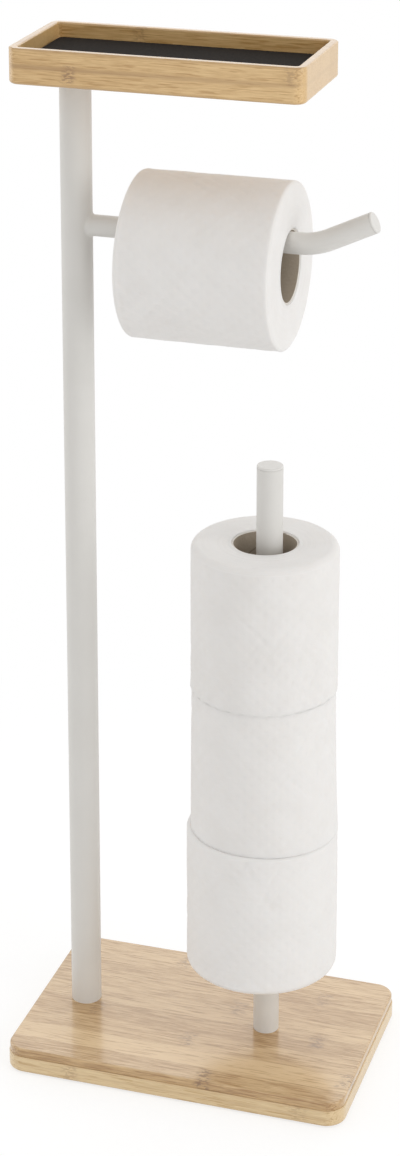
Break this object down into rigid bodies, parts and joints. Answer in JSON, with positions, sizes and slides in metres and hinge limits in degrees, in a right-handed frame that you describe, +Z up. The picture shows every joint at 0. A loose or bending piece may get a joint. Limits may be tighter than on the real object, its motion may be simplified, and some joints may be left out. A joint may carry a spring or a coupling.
{
  "type": "toilet roll storage holder",
  "caption": "Free-standing toilet roll holder: bamboo foot and tray, tall coated pole with a bent roll arm, and a short post that stores spare rolls.",
  "frame": {"origin": "on the floor, under the middle of the foot", "axes": "+Z up along the pole, +X from the pole towards the arm's free end, +Y to the back"},
  "size_m": [0.218, 0.142, 0.6495],
  "materials": {
    "bamboo_foot": "satin lacquered bamboo",
    "bamboo_tray": "satin lacquered bamboo",
    "coated_steel": "matt powder coat",
    "cap_plastic": "matt moulded",
    "zinc_steel": "zinc plated",
    "rubber": "matt",
    "mat": "matt",
    "paper": "soft embossed tissue",
    "cardboard": "raw grey-brown cardboard"
  },
  "bodies": {
    "stand": {"base_lower_board": "bamboo_foot", "base_upper_board": "bamboo_foot", "foot_pad_front_left": "rubber", "foot_pad_front_right": "rubber", "foot_pad_back_left": "rubber", "foot_pad_back_right": "rubber", "pole": "coated_steel", "pole_foot_insert": "zinc_steel", "pole_bolt": "zinc_steel", "pole_washer": "zinc_steel", "pole_head_insert": "zinc_steel", "tray": "bamboo_tray", "tray_mat": "mat", "tray_screw": "zinc_steel", "tray_washer": "zinc_steel", "arm": "coated_steel", "arm_cap": "cap_plastic", "post": "coated_steel", "post_cap": "cap_plastic", "post_foot_insert": "zinc_steel", "post_bolt": "zinc_steel", "post_washer": "zinc_steel", "roll_rest": "coated_steel"},
    "hanging_roll": {"hanging_roll_paper": "paper", "hanging_roll_core": "cardboard"},
    "bottom_roll": {"bottom_roll_paper": "paper", "bottom_roll_core": "cardboard"},
    "middle_roll": {"middle_roll_paper": "paper", "middle_roll_core": "cardboard"},
    "top_roll": {"top_roll_paper": "paper", "top_roll_core": "cardboard"}
  },
  "joints": [
    {"name": "hanging_roll_turn", "type": "hinge", "parent": "stand", "child": "hanging_roll", "pos_m": [0.0064, 0, 0.5215], "axis": [1, 0, 0], "continuous": true},
    {"name": "bottom_roll_lift", "type": "slide", "parent": "stand", "child": "bottom_roll", "axis": [0, 0, 1], "range_m": [0, 0.04]},
    {"name": "middle_roll_lift", "type": "slide", "parent": "bottom_roll", "child": "middle_roll", "axis": [0, 0, 1], "range_m": [0, 0.04]},
    {"name": "top_roll_lift", "type": "slide", "parent": "middle_roll", "child": "top_roll", "axis": [0, 0, 1], "range_m": [0, 0.04]}
  ]
}
